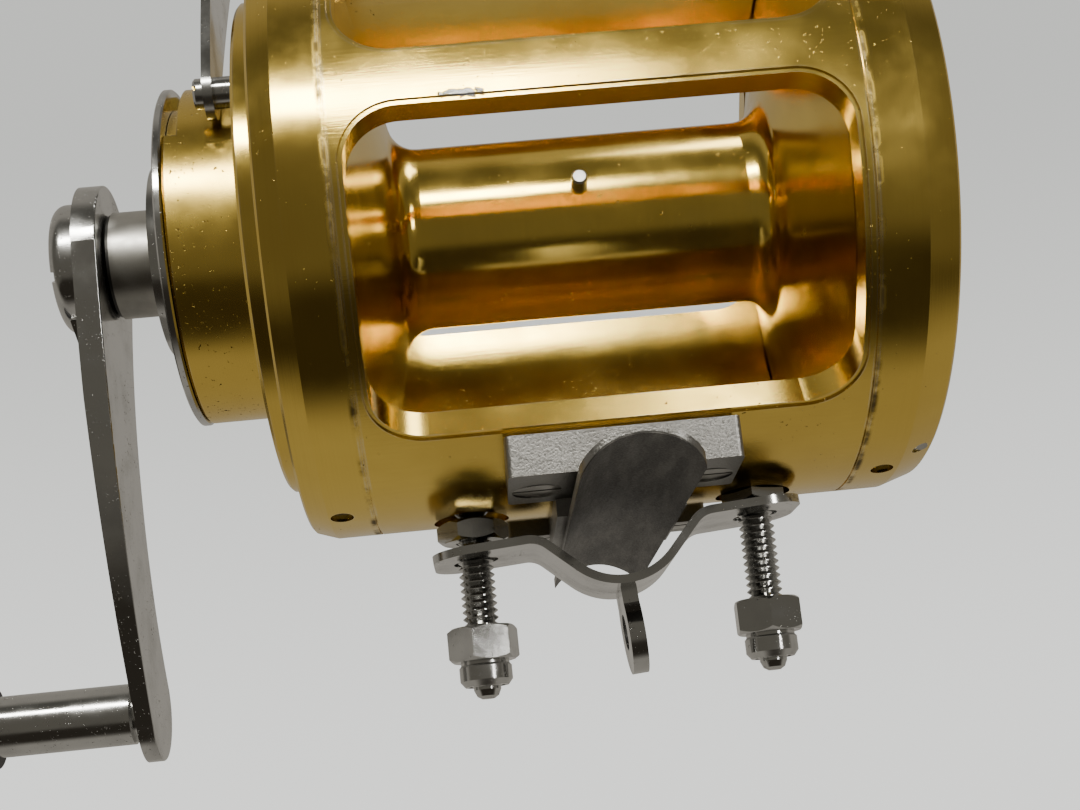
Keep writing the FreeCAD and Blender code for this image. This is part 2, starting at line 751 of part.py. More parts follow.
def gear(teeth, phase, start, long, bore, addendum=None, dedendum=None, thin=0.12):
    module = size("gear_module")
    addendum = module * 0.8 if addendum is None else addendum
    dedendum = module * 1.25 if dedendum is None else dedendum
    face = face_of(involute_outline(teeth, module, addendum, dedendum, thin, phase))
    solid = face.extrude(Vector(long, 0, 0))
    solid.translate(Vector(start, 0, 0))
    if bore:
        hole = Part.makeCylinder(bore, long + 2, Vector(start - 1, 0, 0), Vector(1, 0, 0))
        solid = solid.cut(hole)
    return solid


def make_gears():
    start = -size("gear_out")
    long = size("gear_out") - size("gear_in")
    sun = gear(SUN_TEETH, 0.0, start, long, size("shaft_radius"))
    node("sun_gear", shaped("sun", sun))
    module = size("gear_module")
    blank = cylinder_x(size("hub_bore"), start, start + long)
    space = gear(RING_TEETH, 180.0 / RING_TEETH, start - 1, long + 2, 0, module, 0.6 * module, -0.12)
    node("ring_gear", shaped("ring", blank.cut(space)))
    distance = module * (SUN_TEETH + PLANET_TEETH) / 2
    bore = size("planet_pin") + size("fit")
    for index, angle in enumerate(PLANET_ANGLES, 1):
        planet = gear(PLANET_TEETH, angle + 180.0 / PLANET_TEETH, start + 0.2, long - 0.4, bore)
        place = Placement(around(angle, distance), Rotation())
        node("planet_gear_%d" % index, shaped("planet_%d" % index, planet, place))


def make_carrier():
    distance = size("gear_module") * (SUN_TEETH + PLANET_TEETH) / 2
    disc = rod("carrier_disc", "carrier_radius", "carrier_out - carrier_in", "-carrier_out")
    tools = [rod("carrier_bore", "drive_radius - 1", "10", "-carrier_out - 3")]
    pins = []
    for index, angle in enumerate(PLANET_ANGLES):
        spot = around(angle, distance)
        y = "%.6f" % spot.y
        z = "%.6f" % spot.z
        tools.append(rod("pin_hole_%d" % index, "planet_pin", "10", "-carrier_out - 3", y, z))
        pins.append(rod("pin_%d" % index, "planet_pin", "carrier_out - gear_in - 0.2", "-carrier_out", y, z))
    node("planet_carrier", without("carrier_cut", disc, tools))
    node("planet_pins", group("pins", pins))


def make_ratchet():
    """The anti-reverse ratchet on the drive shaft, its pawl, drawn lifted, and the pawl's pin."""
    start = -size("ratchet_out")
    long = size("ratchet_out") - size("ratchet_in")
    tip = size("ratchet_radius")
    root = tip - size("ratchet_deep")
    points = []
    for index in range(RATCHET_TEETH):
        first = 90 + 360.0 * index / RATCHET_TEETH
        points.append(around(first, root, start))
        points.append(around(first + 360.0 / RATCHET_TEETH, tip, start))
    wheel = face_of(points).extrude(Vector(long, 0, 0))
    hole = cylinder_x(size("drive_radius"), start - 1, start + long + 1)
    node("ratchet_wheel", shaped("ratchet", wheel.cut(hole)))
    pivot = around(PAWL_ANGLE, size("pawl_circle"), start + 0.1)
    nose = around(96.0, tip - 0.9, start + 0.1)
    along = (nose - pivot).normalize()
    side = Vector(0, -along.z, along.y)
    points = [pivot + side * 2.3, nose + side * 1.3, nose + along * 0.4]
    points += [nose - side * 0.3, pivot - side * 1.2]
    finger = face_of(points).extrude(Vector(long - 0.2, 0, 0))
    hub = Part.makeCylinder(size("pawl_hub"), long - 0.2, pivot, Vector(1, 0, 0))
    hole = cylinder_x(size("pawl_pin") + size("fit"), start - 3, start + 6, pivot.y, pivot.z)
    pawl = finger.fuse(hub).cut(hole).removeSplitter()
    pawl.rotate(pivot, Vector(1, 0, 0), PAWL_LIFT)
    node("anti_reverse_pawl", shaped("pawl", pawl))
    pin_start = -size("hub_end") + 0.2
    pin = cylinder_x(size("pawl_pin"), pin_start, start + long, pivot.y, pivot.z)
    return node("pawl_pin", shaped("pawl_post", pin))


def make_drive_bush():
    corners = [("hub_end - hub_wall", "drive_radius + fit"), ("hub_end - hub_wall", "bush_radius")]
    corners += [("hub_end", "bush_radius"), ("hub_end", "drive_radius + fit")]
    return node("drive_bush", turned("bush_turned", mirrored(corners)))


# ---- crank ----

def make_drive_shaft():
    """A stepped shaft from the carrier out through the crank arm."""
    corners = [("carrier_in", "0"), ("carrier_in", "drive_radius - 1"), ("carrier_out", "drive_radius - 1")]
    corners += [("carrier_out", "drive_radius"), ("arm_in + arm_thick", "drive_radius")]
    corners += [("arm_in + arm_thick", "0")]
    return node("drive_shaft", turned("drive_turned", mirrored(corners)))


def make_drag_wheel():
    """A plated disc that sets the drag, and the knurled ring on its face."""
    corners = [("disc_in", "drive_radius + fit"), ("disc_in", "disc_radius - 0.3")]
    corners += [("disc_in + 0.3", "disc_radius"), ("disc_out - 0.3", "disc_radius")]
    corners += [("disc_out", "disc_radius - 0.5"), ("disc_out", "drive_radius + fit")]
    node("drag_wheel", turned("disc_turned", mirrored(corners)))
    start = -size("knurl_out")
    tall = size("knurl_out") - size("disc_out")
    radius = size("knurl_radius")
    ring = Part.makeCone(radius - 0.8, radius, tall, Vector(start, 0, 0), Vector(1, 0, 0))
    ring = ring.cut(cylinder_x(size("drive_radius") + size("fit"), start - 1, start + tall + 1))
    ring = ring.cut(Part.makeCone(radius - 2.5, radius - 4.5, 1.2, Vector(start, 0, 0), Vector(1, 0, 0)))
    cuts = []
    deep = size("knurl_deep")
    for index in range(KNURLS):
        groove = Part.makeBox(9, deep, deep, Vector(start - 1, -deep / 2, -deep / 2))
        groove.rotate(Vector(start, 0, 0), Vector(1, 0, 0), 45)
        groove.translate(Vector(0, 0, radius))
        groove.rotate(Vector(0, 0, 0), Vector(1, 0, 0), 360.0 * index / KNURLS)
        cuts.append(groove)
    node("drag_grip_ring", shaped("grip_ring", ring.cut(Part.makeCompound(cuts))))


def make_crank_boss():
    corners = [("knurl_out + fit", "drive_radius"), ("knurl_out + fit", "boss_radius")]
    corners += [("boss_out", "boss_radius"), ("boss_out", "drive_radius")]
    node("crank_boss", turned("boss_turned", mirrored(corners)))
    corners = [("boss_out", "drive_radius"), ("boss_out", "boss_radius - 0.4")]
    corners += [("arm_in - 0.4", "boss_radius - 0.4"), ("arm_in", "boss_radius - 0.9")]
    corners += [("arm_in", "drive_radius")]
    node("crank_collar", turned("collar_turned", mirrored(corners)))


def arm_centres():
    """The middle of the arm's hub and of its eye, on its inner face."""
    hub = Vector(-size("arm_in"), 0, 0)
    eye = Vector(-size("arm_in"), size("pin_back"), -size("pin_drop"))
    return hub, eye


def arm_outer_at_eye():
    """How far out the arm's tapered outer face is at the handle's eye."""
    thin = size("arm_thick") - size("arm_tip_thick")
    start = size("arm_taper_from")
    share = (size("pin_drop") - start) / (size("pin_drop") + size("arm_eye") - start)
    return size("arm_in") + size("arm_thick") - thin * share


def make_crank_arm():
    """A flat arm, wide at its hub, with hollow edges down to the handle's eye."""
    hub, eye = arm_centres()
    hub_radius = size("arm_hub")
    eye_radius = size("arm_eye")
    front_top = hub + Vector(0, -hub_radius, 0)
    back_top = hub + Vector(0, hub_radius, 0)
    front_low = eye + around(200.0, eye_radius)
    back_low = eye + around(35.0, eye_radius)
    lowest = eye + around(-78.0, eye_radius)
    edges = [Part.Arc(front_top, Vector(hub.x, -1.5, -57.0), front_low).toShape()]
    edges.append(Part.Arc(front_low, lowest, back_low).toShape())
    edges.append(Part.Arc(back_low, Vector(hub.x, 16.0, -52.0), back_top).toShape())
    edges.append(Part.Arc(back_top, hub + Vector(0, 0, hub_radius), front_top).toShape())
    outer = -size("arm_in") - size("arm_thick")
    arm = Part.Face(Part.Wire(edges)).extrude(Vector(outer - hub.x, 0, 0))
    inner_rim = [edge for edge in arm.Edges if abs(edge.BoundBox.XMin - hub.x) < 0.01]
    arm = arm.makeFillet(0.3, inner_rim)
    thin = size("arm_thick") - size("arm_tip_thick")
    low = -size("pin_drop") - eye_radius
    start = -size("arm_taper_from")
    wedge = [Vector(outer, -40, start), Vector(outer + thin, -40, low)]
    wedge += [Vector(outer + thin, -40, low - 5), Vector(outer - 2, -40, low - 5)]
    wedge.append(Vector(outer - 2, -40, start))
    arm = arm.cut(face_of(wedge).extrude(Vector(0, 90, 0)))
    arm = arm.cut(cylinder_x(size("drive_radius"), outer - 3, hub.x + 3))
    arm = arm.cut(cylinder_x(size("pin_radius"), outer - 3, hub.x + 3, eye.y, eye.z))
    return node("crank_arm", shaped("arm", arm))


def make_crank_fasteners():
    """The domed cap that holds the arm, and the wedge-shaped strap that stops the cap turning."""
    outer = size("arm_in") + size("arm_thick")
    radius = size("cap_radius")
    tall = size("cap_tall")
    cap = cylinder_x(radius, -outer - tall, -outer)
    rim = [edge for edge in cap.Edges if edge.BoundBox.XMax < -outer - tall + 0.1]
    cap = cap.makeFillet(size("cap_round"), rim)
    wide = size("cap_slot_wide")
    slot_start = Vector(-outer - tall - 1.0, -1.5 * radius, -wide / 2)
    slot = Part.makeBox(1.0 + size("cap_slot_deep"), 3 * radius, wide, slot_start)
    slot.rotate(Vector(0, 0, 0), Vector(1, 0, 0), 25)
    node("crank_cap", shaped("cap", cap.cut(slot)))
    hub, eye = arm_centres()
    along = (eye - hub).normalize()
    side = Vector(0, -along.z, along.y)
    face = hub + Vector(-size("arm_thick"), 0, 0)
    near = face + along * size("strap_near")
    far = face + along * size("strap_far")
    thick = size("strap_thick")
    rise = size("strap_rise")
    plan = [near + side * 8.5, far + side * 3.2, far - side * 3.2, near - side * 8.5]
    blank = face_of(plan).extrude(Vector(-rise, 0, 0))
    blank = blank.fuse(Part.makeCylinder(3.2, rise, far, Vector(-1, 0, 0)))
    seen_from_side = [near, near + Vector(-rise, 0, 0), far - along * 4.0 + Vector(-thick, 0, 0)]
    seen_from_side += [far + along * 4.0 + Vector(-thick, 0, 0), far + along * 4.0]
    wedge = face_of([spot - side * 15.0 for spot in seen_from_side]).extrude(side * 30.0)
    strap = blank.common(wedge)
    strap = strap.cut(cylinder_x(radius + 0.1, -outer - rise - 1, -outer + 1))
    strap = strap.cut(cylinder_x(size("strap_bolt"), -outer - rise, -outer + 1, far.y, far.z))
    node("cap_lock_strap", shaped("strap", strap.removeSplitter()))
    head = Part.makeCylinder(2.7, 1.1, far + Vector(-thick, 0, 0), Vector(-1, 0, 0))
    head = head.cut(Part.makeBox(1, 8, 0.7, far + Vector(-thick - 1.7, -4, -0.35)))
    shank = Part.makeCylinder(size("strap_bolt") - 0.05, thick, far, Vector(-1, 0, 0))
    node("strap_screw", shaped("strap_screw_solid", head.fuse(shank).removeSplitter()))


def make_handle():
    """The plated spindle fixed in the arm, the grip that spins on it and the grip's screw."""
    eye = Vector(0, size("pin_back"), -size("pin_drop"))
    face = -arm_outer_at_eye()
    start = -size("spindle_out")
    knob_mouth = -size("knob_in")
    knob_end = knob_mouth - size("knob_long")
    pin = cylinder_x(size("pin_radius"), face, -size("arm_in"), eye.y, eye.z)
    neck = cylinder_x(4.6, face - 1.5, face, eye.y, eye.z)
    ferrule = cylinder_x(size("spindle_radius"), start, face - 1.5, eye.y, eye.z)
    rims = [edge for edge in ferrule.Edges if edge.Curve.TypeId == "Part::GeomCircle"]
    axle = cylinder_x(size("spindle_core"), knob_end + 3.5, start, eye.y, eye.z)
    spindle = pin.fuse(neck).fuse(ferrule.makeChamfer(0.4, rims)).fuse(axle)
    node("handle_spindle", shaped("spindle", spindle.removeSplitter()))
    crest = size("knob_radius")
    outer = [Vector(knob_mouth, 0, 7.6), Vector(knob_mouth - 13, 0, 14.0)]
    outer += [Vector(knob_mouth - 28, 0, crest), Vector(knob_mouth - 37, 0, 14.8), Vector(knob_end, 0, 8.0)]
    curve = Part.BSplineCurve()
    curve.interpolate(outer)
    bore = size("spindle_core") + size("fit")
    inner = [outer[-1], Vector(knob_end, 0, 5.2), Vector(knob_end + 3.4, 0, 5.2)]
    inner += [Vector(knob_end + 3.4, 0, bore), Vector(knob_mouth, 0, bore), outer[0]]
    profile = Part.Face(Part.Wire([curve.toShape()] + Part.makePolygon(inner).Edges))
    grip = profile.revolve(Vector(0, 0, 0), Vector(1, 0, 0), 360)
    node("handle_knob", shaped("knob", grip, Placement(eye, Rotation())))
    head = cylinder_x(4.9, knob_end + 0.7, knob_end + 3.3, eye.y, eye.z)
    slot = Part.makeBox(1.2, 14, 1.2, Vector(knob_end + 0.2, eye.y - 7, eye.z - 0.6))
    shank = cylinder_x(2.0, knob_end + 3.0, knob_end + 3.5, eye.y, eye.z)
    node("knob_screw", shaped("knob_screw_solid", head.cut(slot).fuse(shank).removeSplitter()))


# ---- free-spool lever ----

def make_lever():
    """A plate on a post that leans back as it rises past the side ring's face."""
    y = "-post_front"
    z = "post_up"
    post = rod("post_blank", "post_radius", "post_out - cover_out", "-post_out", y, z)
    hole = rod("post_bore", "1.65", "20", "-post_out - 5", y, z)
    node("lever_post", without("post_cut", post, [hole]))
    thick = size("lever_thick")
    x = -size("post_out") - thick
    centre = Vector(x, -size("post_front"), size("post_up"))
    front_low = centre + Vector(0, -4.3, 1.0)
    back_low = centre + Vector(0, 3.4, -2.8)
    front_high = Vector(x, -18.5, 57.0)
    back_high = Vector(x, -2.5, 50.0)
    edges = [Part.Arc(front_low, Vector(x, -28.6, 37.0), front_high).toShape()]
    edges.append(Part.Arc(front_high, Vector(x, -7.8, 60.5), back_high).toShape())
    edges.append(Part.Arc(back_high, Vector(x, -17.0, 30.5), back_low).toShape())
    edges.append(Part.Arc(back_low, centre + Vector(0, -2.6, -3.6), front_low).toShape())
    plate = Part.Face(Part.Wire(edges)).extrude(Vector(thick, 0, 0))
    plate = plate.cut(cylinder_x(1.55, x - 2, x + 5, centre.y, centre.z))
    node("free_spool_lever", shaped("lever_plate", plate))
    head = Part.makeCylinder(2.6, 1.9, centre, Vector(-1, 0, 0))
    outer_rim = min(head.Edges, key=lambda edge: edge.CenterOfMass.x)
    head = head.makeChamfer(0.4, [outer_rim])
    slot = Part.makeBox(1.2, 8, 0.8, centre + Vector(-2.4, -4, -0.4))
    node("lever_screw", shaped("lever_screw_solid", head.cut(slot)))


# ---- clicker on the far side ----

def make_clicker():
    """The toothed wheel on the spool's shaft, and the tongue and button that reach it."""
    start = size("click_in")
    tip = size("click_tip")
    root = size("click_root")
    thick = size("finger_thick")
    up = size("click_up")
    pitch = 360.0 / CLICK_TEETH
    points = []
    for index in range(CLICK_TEETH):
        for share, radius in ((-0.25, root), (0.25, root), (0.42, tip), (0.58, tip)):
            points.append(around(90.0 + pitch * (index + share), radius, start))
    wheel = face_of(points).extrude(Vector(size("click_thick"), 0, 0))
    hole = cylinder_x(size("shaft_radius"), start - 1, start + 3)
    node("click_gear", shaped("click_wheel", wheel.cut(hole)))
    finger = [Vector(start, -1.7, 24.0), Vector(start, -0.35, 16.4), Vector(start, 0.35, 16.4)]
    finger.append(Vector(start, 1.7, 24.0))
    tongue = face_of(finger).extrude(Vector(thick, 0, 0))
    boss = cylinder_x(2.4, start, start + thick, 0, up)
    node("click_tongue", shaped("click_finger", tongue.fuse(boss).removeSplitter()))
    out = size("far_cover_out")
    stem = Part.makeBox(out + 0.2 - start - thick, 3.8, 5.0, Vector(start + thick, -1.9, up - 2.5))
    head = cylinder_x(4.2, out + 0.1, out + 2.4, 0, up)
    outer_rim = max(head.Edges, key=lambda edge: edge.CenterOfMass.x)
    head = head.makeFillet(0.8, [outer_rim])
    node("click_button", shaped("click_slider", stem.fuse(head).removeSplitter()))


def make_harness_lugs():
    """Two eyed lugs on the frame's top bar, for a fighting harness."""
    lugs = []
    for side in (-1, 1):
        along = side * 27.0
        centre = around(HARNESS_ANGLE, size("harness_circle"), along)
        tab = cylinder_x(6.0, along - 2.5, along + 2.5, centre.y, centre.z)
        neck = Part.makeBox(5.0, 12.0, 10.0, Vector(along - 2.5, -6.0, size("harness_circle") - 10.0))
        neck.rotate(Vector(0, 0, 0), Vector(1, 0, 0), HARNESS_ANGLE - 90)
        eye = cylinder_x(size("harness_eye"), along - 4, along + 4, centre.y, centre.z)
        bar = cylinder_x(size("ring_radius"), along - 5, along + 5)
        lug = tab.fuse(neck).cut(eye).cut(bar)
        lugs.append(shaped("harness_lug_%d" % (side + 1), lug.removeSplitter()))
    return node("harness_lugs", group("harness_lug_pair", lugs))


# ---- foot ----

def make_foot():
    """Two cross lugs shaped to the frame, and a half-pipe tongue that lies on the rod's seat."""
    half = size("foot_half")
    lugs = []
    for sign in (-1, 1):
        outer = sign * size("lug_front")
        inner = sign * size("lug_back")
        corners = [Vector(-half, outer, -size("lug_top")), Vector(-half, inner, -size("lug_top"))]
        corners.append(Vector(-half, inner, -size("lug_bottom")))
        corners.append(Vector(-half, outer, -size("lug_bottom") + size("lug_slope")))
        lug = face_of(corners).extrude(Vector(2 * half, 0, 0))
        upright = [edge for edge in lug.Edges if abs(edge.Vertexes[0].X - edge.Vertexes[-1].X) < 0.01
                   and abs(edge.Vertexes[0].Y - edge.Vertexes[-1].Y) < 0.01]
        lugs.append(lug.makeFillet(1.0, upright))
    seat = -size("axis_height")
    reach = size("tongue_reach")
    outer_radius = size("seat_radius") + size("tongue_thick")
    pipe = Part.makeCylinder(outer_radius, 2 * reach, Vector(0, -reach, seat), Vector(0, 1, 0))
    width = size("tongue_half")
    plan = Part.makeBox(2 * width, 2 * reach, 12, Vector(-width, -reach, seat + 4.0))
    corners = [edge for edge in plan.Edges if abs(edge.Vertexes[0].Z - edge.Vertexes[-1].Z) > 1]
    tongue = pipe.common(plan.makeFillet(5.0, corners))
    inner = size("lug_back") + 1.0
    waist_half = size("waist_half")
    waist = Part.makeBox(2 * waist_half, 2 * inner, 14, Vector(-waist_half, -inner, seat + 8.0))
    solid = lugs[0].fuse([lugs[1], tongue, waist])
    rod_start = Vector(0, -reach - 2, seat)
    rod_space = Part.makeCylinder(size("seat_radius"), 2 * reach + 4, rod_start, Vector(0, 1, 0))
    saddle = cylinder_x(size("ring_radius"), -40, 40)
    solid = solid.cut(rod_space).cut(saddle)
    shank = size("foot_screw_shank")
    head = size("foot_screw_head")
    for side in (-1, 1):
        for end in (-1, 1):
            tool = Part.makeCylinder(shank, 12, Vector(0, 0, -12))
            tool = tool.fuse(Part.makeCone(shank, head, 2.4, Vector(0, 0, -2.4)))
            tool = tool.fuse(Part.makeCylinder(head, 3))
            tool.Placement = screw_place(side, end)
            solid = solid.cut(tool)
    return node("foot", shaped("foot_solid", solid.removeSplitter()))


def screw_place(side, end):
    """Where one foot screw's face lies, just under the lug's skin and facing down."""
    place = Vector(side * size("foot_screw_side"), end * size("foot_screw_front"), -size("screw_face"))
    return Placement(place, Rotation(Vector(1, 0, 0), 180))


def make_foot_screws():
    screws = []
    for side in (-1, 1):
        for end in (-1, 1):
            screw = slotted_screw(size("foot_screw_head"), 2.4, size("foot_screw_shank"), 9.0, 1.0, 1.2)
            screw.rotate(Vector(0, 0, 0), Vector(0, 0, 1), 8.0 * side * end)
            name = "foot_screw_%d_%d" % (side + 1, end + 1)
            screws.append(shaped(name, screw, screw_place(side, end)))
    return node("foot_screws", group("foot_screw_group", screws))


# ---- studs, nuts and rod clamp ----

def make_clamp_studs():
    """Two studs with a thread cut as evenly spaced grooves, and a domed lower end."""
    radius = size("stud_radius")
    pitch = size("thread_pitch")
    root = radius - 0.6 * pitch
    top = -48.6
    bottom = -size("stud_end")
    low_thread = bottom + 1.6
    points = [Vector(0, 0, top), Vector(root, 0, top)]
    level = top - 0.2
    while level - pitch > low_thread:
        points.append(Vector(radius - 0.02, 0, level - 0.45 * pitch))
        points.append(Vector(radius - 0.02, 0, level - 0.57 * pitch))
        points.append(Vector(root, 0, level - pitch))
        level -= pitch
    points += [Vector(root, 0, low_thread), Vector(root - 0.5, 0, bottom + 0.5)]
    points += [Vector(root - 1.3, 0, bottom), Vector(0, 0, bottom)]
    solid = face_of(points).revolve(Vector(0, 0, 0), Vector(0, 0, 1), 360)
    studs = []
    for side in (-1, 1):
        place = Placement(Vector(side * size("stud_half"), 0, 0), Rotation())
        studs.append(shaped("stud_%d" % (side + 1), solid, place))
    return node("clamp_studs", group("studs", studs))


def chamfered_hex(across, bottom, top, bore, turn):
    """A hexagon along Z with its corners turned off at both ends."""
    corner = across / 2 / math.cos(math.radians(30))
    points = []
    for index in range(6):
        angle = math.radians(60 * index + turn)
        points.append(Vector(corner * math.cos(angle), corner * math.sin(angle), bottom))
    blank = face_of(points).extrude(Vector(0, 0, top - bottom))
    flat = across / 2 - 0.1
    profile = [Vector(0, 0, bottom), Vector(flat, 0, bottom), Vector(corner + 0.1, 0, bottom + 0.75)]
    profile += [Vector(corner + 0.1, 0, top - 0.75), Vector(flat, 0, top), Vector(0, 0, top)]
    turned_blank = face_of(profile).revolve(Vector(0, 0, 0), Vector(0, 0, 1), 360)
    hole = Part.makeCylinder(bore, top - bottom + 2, Vector(0, 0, bottom - 1))
    return blank.common(turned_blank).cut(hole)


def make_jam_nuts():
    """The far nut is tight against the frame and the crank-side nut is backed off a little."""
    nuts = []
    bore = size("stud_radius") + 0.01
    for side, turn, gap in ((-1, 6.0, size("loose_nut_gap")), (1, 20.0, 0.0)):
        top = -size("spot_face") - gap
        shape = chamfered_hex(size("hex_across"), top - size("jam_tall"), top, bore, turn)
        place = Placement(Vector(side * size("stud_half"), 0, 0), Rotation())
        nuts.append(shaped("jam_nut_%d" % (side + 1), shape, place))
    return node("jam_nuts", group("jam_nut_group", nuts))


def make_clamp_nuts():
    """Hex nuts with a round collar below, one on each stud."""
    bore = size("stud_radius") + size("fit")
    top = -size("nut_top")
    bottom = -size("nut_bottom")
    end = -size("collar_end")
    radius = size("collar_radius")
    for label, side, turn in (("clamp_nut_left", -1, 14.0), ("clamp_nut_right", 1, 26.0)):
        hexagon = chamfered_hex(size("hex_across"), bottom, top, bore, turn)
        profile = [Vector(bore, 0, bottom), Vector(radius - 0.35, 0, bottom)]
        profile += [Vector(radius - 0.35, 0, bottom - 0.6), Vector(radius, 0, bottom - 1.0)]
        profile += [Vector(radius, 0, end + 1.0), Vector(radius - 0.8, 0, end), Vector(bore, 0, end)]
        collar = face_of(profile).revolve(Vector(0, 0, 0), Vector(0, 0, 1), 360)
        place = Placement(Vector(side * size("stud_half"), 0, 0), Rotation())
        node(label, shaped(label + "_solid", hexagon.fuse(collar).removeSplitter(), place))


def clamp_placement():
    return Placement(Vector(0, 0, -size("clamp_top")), Rotation(Vector(0, 1, 0), -size("clamp_tilt")))


def make_rod_clamp():
    """A bent strip: two flat ears and a U between them. It hangs a little crooked on its studs."""
    thick = size("clamp_thick")
    deep = size("clamp_deep")
    half = size("clamp_half")
    slant = math.radians(45)
    cup = size("clamp_bend") + thick / 2
    shoulder = 4.0 + thick / 2
    rise = deep - (cup + shoulder) * (1 - math.cos(slant))
    flat_end = (cup + shoulder) * math.sin(slant) + rise / math.tan(slant)

    def flip(spot):
        return Vector(-spot.x, 0, spot.z)

    def strip_side(below):
        """One long side of the strip, a given distance below its middle line."""
        turn_centre = Vector(flat_end, 0, -shoulder)
        cup_centre = Vector(0, 0, cup - deep)
        end = Vector(half, 0, -below)
        knee_start = Vector(flat_end, 0, -below)
        knee = turn_centre + Vector(-math.sin(slant / 2), 0, math.cos(slant / 2)) * (shoulder - below)
        knee_end = turn_centre + Vector(-math.sin(slant), 0, math.cos(slant)) * (shoulder - below)
        cup_start = cup_centre + Vector(math.sin(slant), 0, -math.cos(slant)) * (cup + below)
        cup_low = cup_centre + Vector(0, 0, -cup - below)
        edges = [Part.makeLine(end, knee_start), Part.Arc(knee_start, knee, knee_end).toShape()]
        edges.append(Part.makeLine(knee_end, cup_start))
        edges.append(Part.Arc(cup_start, cup_low, flip(cup_start)).toShape())
        edges.append(Part.makeLine(flip(cup_start), flip(knee_end)))
        edges.append(Part.Arc(flip(knee_end), flip(knee), flip(knee_start)).toShape())
        edges.append(Part.makeLine(flip(knee_start), flip(end)))
        return edges, end

    upper, upper_end = strip_side(-thick / 2)
    lower, lower_end = strip_side(thick / 2)
    ends = [Part.makeLine(upper_end, lower_end), Part.makeLine(flip(upper_end), flip(lower_end))]
    wire = Part.Wire(Part.__sortEdges__(upper + lower + ends))
    wide = size("clamp_wide")
    strip = Part.Face(wire).extrude(Vector(0, wide, 0))
    strip.translate(Vector(0, -wide / 2, 0))
    corners = [edge for edge in strip.Edges if abs(abs(edge.CenterOfMass.x) - half) < 0.01
               and abs(abs(edge.CenterOfMass.y) - wide / 2) < 0.01]
    strip = strip.makeFillet(7.0, corners)
    for side in (-1, 1):
        hole = Part.makeCylinder(size("clamp_hole"), 10, Vector(side * size("stud_half"), 0, -5))
        strip = strip.cut(hole)
    return node("rod_clamp", shaped("clamp_strip", strip, clamp_placement()))


def make_clamp_lug():
    """A tab with an eye, brazed under the clamp, for a safety line."""
    thick = size("lug_thick")
    top = -size("clamp_deep") - size("clamp_thick") / 2
    radius = size("lug_radius")
    middle = top - size("lug_drop")
    tab = cylinder_x(radius, -thick / 2, thick / 2, 0, middle)
    neck_start = Vector(-thick / 2, 1.5 - radius, middle)
    neck = Part.makeBox(thick, 2 * radius - 3, size("lug_drop") + 0.4, neck_start)
    eye = cylinder_x(size("lug_eye"), -thick, thick, 0, middle)
    cup_radius = size("clamp_bend") + size("clamp_thick")
    cup = Part.makeCylinder(cup_radius, 40, Vector(0, -20, top + cup_radius), Vector(0, 1, 0))
    shape = tab.fuse(neck).cut(eye).cut(cup)
    return node("clamp_lug", shaped("lug", shape.removeSplitter(), clamp_placement()))


# ---- build, check and write ----

def check_document():
    for thing in doc.Objects:
        bad = [state for state in thing.State if state in ("Invalid", "Error")]
        if bad:
            raise RuntimeError("%s is %s" % (thing.Name, bad))
    for label, thing in nodes.items():
        if thing.Shape.isNull() or not thing.Shape.isValid():
            raise RuntimeError(label + " has no valid shape")


def write_parts():
    os.makedirs("parts", exist_ok=True)
    for label, thing in nodes.items():
        thing.Shape.exportStep("parts/%s.step" % label)
        box = thing.Shape.BoundBox
        print("%-22s %8.0f mm3  %d solids  x %.1f..%.1f  y %.1f..%.1f  z %.1f..%.1f" % (
            label, thing.Shape.Volume, len(thing.Shape.Solids),
            box.XMin, box.XMax, box.YMin, box.YMax, box.ZMin, box.ZMax))


def main():
    fill_sheet()
    make_frame()
    make_crank_side_ring()
    make_far_side_ring()
    make_ring_set_screws()
    make_crank_side_cover()
    make_drive_housing()
    make_far_side_cover()
    make_far_cover_screws()
    make_far_bearing_cap()
    make_side_plates()
    make_bearings()
    make_spool()
    make_line_peg()
    make_spool_shaft()
    make_drag()
    make_lever_shaft()
    make_clutch_plunger()
    make_gears()
    make_carrier()
    make_ratchet()
    make_drive_bush()
    make_drive_shaft()
    make_drag_wheel()
    make_crank_boss()
    make_crank_arm()
    make_crank_fasteners()
    make_handle()
    make_lever()
    make_clicker()
    make_harness_lugs()
    make_foot()
    make_foot_screws()
    make_clamp_studs()
    make_jam_nuts()
    make_clamp_nuts()
    make_rod_clamp()
    make_clamp_lug()
    doc.recompute()
    check_document()
    write_parts()


main()
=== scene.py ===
"""The trolling reel's materials, light and camera, in metres."""
import json
import math

import bpy
from mathutils import Euler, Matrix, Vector

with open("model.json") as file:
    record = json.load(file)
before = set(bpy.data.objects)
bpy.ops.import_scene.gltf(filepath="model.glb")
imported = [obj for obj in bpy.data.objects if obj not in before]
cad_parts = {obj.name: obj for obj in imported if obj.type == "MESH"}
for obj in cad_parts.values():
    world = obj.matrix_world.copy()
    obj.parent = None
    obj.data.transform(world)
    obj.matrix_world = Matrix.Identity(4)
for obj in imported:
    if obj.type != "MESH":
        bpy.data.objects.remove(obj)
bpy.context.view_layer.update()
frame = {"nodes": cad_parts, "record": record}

AXIS_HEIGHT = 0.0654        # the spool's axis above the rod's axis
JOINT_AT = 0.0424           # where the frame meets each side ring
MIDDLE = Vector((0.0, 0.0, AXIS_HEIGHT))
SEAT_RADIUS = 0.0113        # just outside the foot's half-round channel
NICK = (-0.0206, -0.0534, 0.0692)    # a chip in the finish on the front crossbar
NICK_SQUASH = (0.35, 1.0, 1.6)
NICK_OUTER = 0.0023
NICK_INNER = 0.0020
NICK_RAGGED = 0.0022
GRIME_OUTER = 0.0009        # the dirt's reach on each side of a joint line
GRIME_INNER = 0.0001
WORN_EDGE = 0.0004          # the width of rubbed finish along an edge


# ---- small helpers for shader nodes ----

